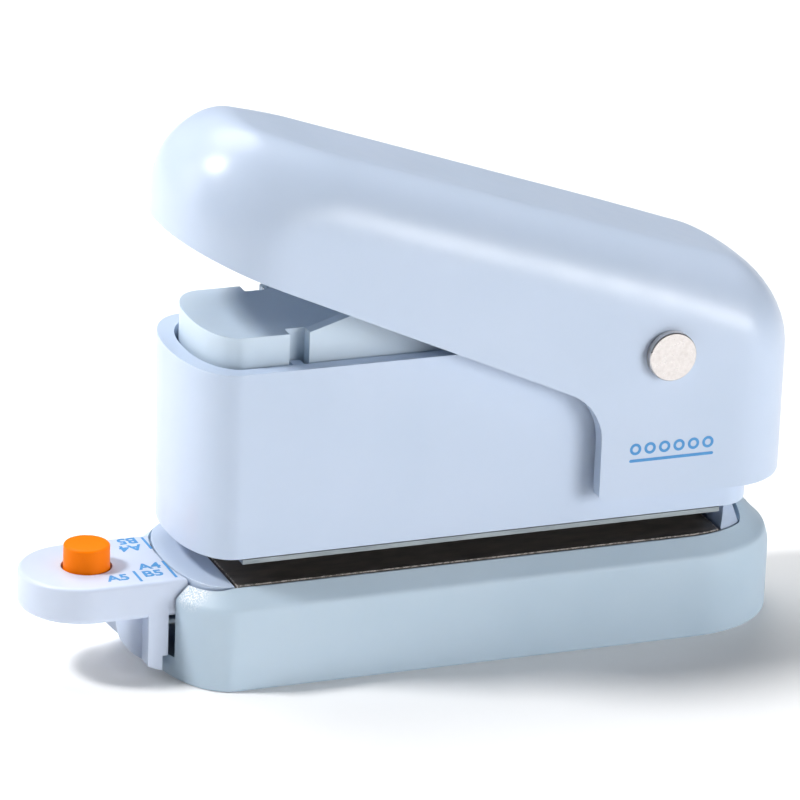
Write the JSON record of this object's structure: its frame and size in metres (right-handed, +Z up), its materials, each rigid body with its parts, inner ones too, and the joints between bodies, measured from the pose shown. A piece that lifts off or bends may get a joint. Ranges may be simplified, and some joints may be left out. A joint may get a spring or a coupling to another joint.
{
  "type": "loose-leaf hole punch",
  "caption": "Palm-size lever punch for loose-leaf paper: hinged handle over an open-topped head, punch row, die plate, chip tray and end gauge with locating peg.",
  "frame": {"origin": "middle of the chip tray's underside, on the surface it stands on", "axes": "+X from the gauge end to the hinge end, +Y to the far side, +Z up; the handle is raised at rest"},
  "size_m": [0.101, 0.0316, 0.0688],
  "materials": {
    "shell_plastic": "satin pale blue moulding",
    "tray_plastic": "cloudy grey-blue, finely pebbled",
    "block_plastic": "satin grey-blue moulding",
    "inner_plastic": "plain off-white moulding",
    "peg_plastic": "orange",
    "die_steel": "blackened steel with worn edges",
    "bright_steel": "zinc plated",
    "nickel": "nickel plated, lightly scuffed",
    "spring_wire": "spring wire"
  },
  "bodies": {
    "base": {"base_frame": "shell_plastic", "die_plate": "die_steel", "paper_stop": "bright_steel", "head_housing": "shell_plastic", "guide_plate": "bright_steel", "punch_guide": "inner_plastic", "head_bracket": "bright_steel", "head_screw_1": "bright_steel", "head_screw_2": "bright_steel", "guide_screw_1": "bright_steel", "guide_screw_2": "bright_steel", "hinge_pin": "nickel", "pin_cap": "nickel", "return_spring_1": "spring_wire", "return_spring_2": "spring_wire"},
    "handle": {"handle_cover": "shell_plastic", "press_lever": "bright_steel", "press_pin": "bright_steel", "lever_screw_1": "bright_steel", "lever_screw_2": "bright_steel"},
    "press": {"press_block": "block_plastic", "punch_holder": "bright_steel", "punch_1": "nickel", "punch_2": "nickel", "punch_3": "nickel", "punch_4": "nickel", "punch_5": "nickel", "punch_6": "nickel"},
    "gauge": {"gauge_slide": "shell_plastic", "peg_plate": "inner_plastic", "peg_spring": "spring_wire"},
    "peg": {"locating_peg": "peg_plastic"},
    "tray": {"chip_tray": "tray_plastic"}
  },
  "joints": [
    {"name": "handle_hinge", "type": "hinge", "parent": "base", "child": "handle", "pos_m": [0.0216, 0, 0.0394], "axis": [0, -1, 0], "range_deg": [0, 14], "stiffness_Nm_per_rad": 1.5, "springref_deg": -8.59},
    {"name": "press_slide", "type": "slide", "parent": "base", "child": "press", "axis": [0, 0, -1], "range_m": [0, 0.0063], "stiffness_N_per_m": 10, "springref_m": -0.0378, "deforming": ["return_spring_1", "return_spring_2"]},
    {"name": "gauge_pull", "type": "slide", "parent": "base", "child": "gauge", "axis": [-1, 0, 0], "range_m": [0, 0.0095]},
    {"name": "peg_press", "type": "slide", "parent": "gauge", "child": "peg", "axis": [0, 0, -1], "range_m": [0, 0.0012], "stiffness_N_per_m": 300, "springref_m": -0.002, "deforming": ["peg_spring"]},
    {"name": "tray_pull", "type": "slide", "parent": "base", "child": "tray", "axis": [0, 0, -1], "range_m": [0, 0.015]}
  ],
  "couplings": [
    {"joint": "press_slide", "follows": "handle_hinge", "m_per_rad": 0.025783}
  ]
}
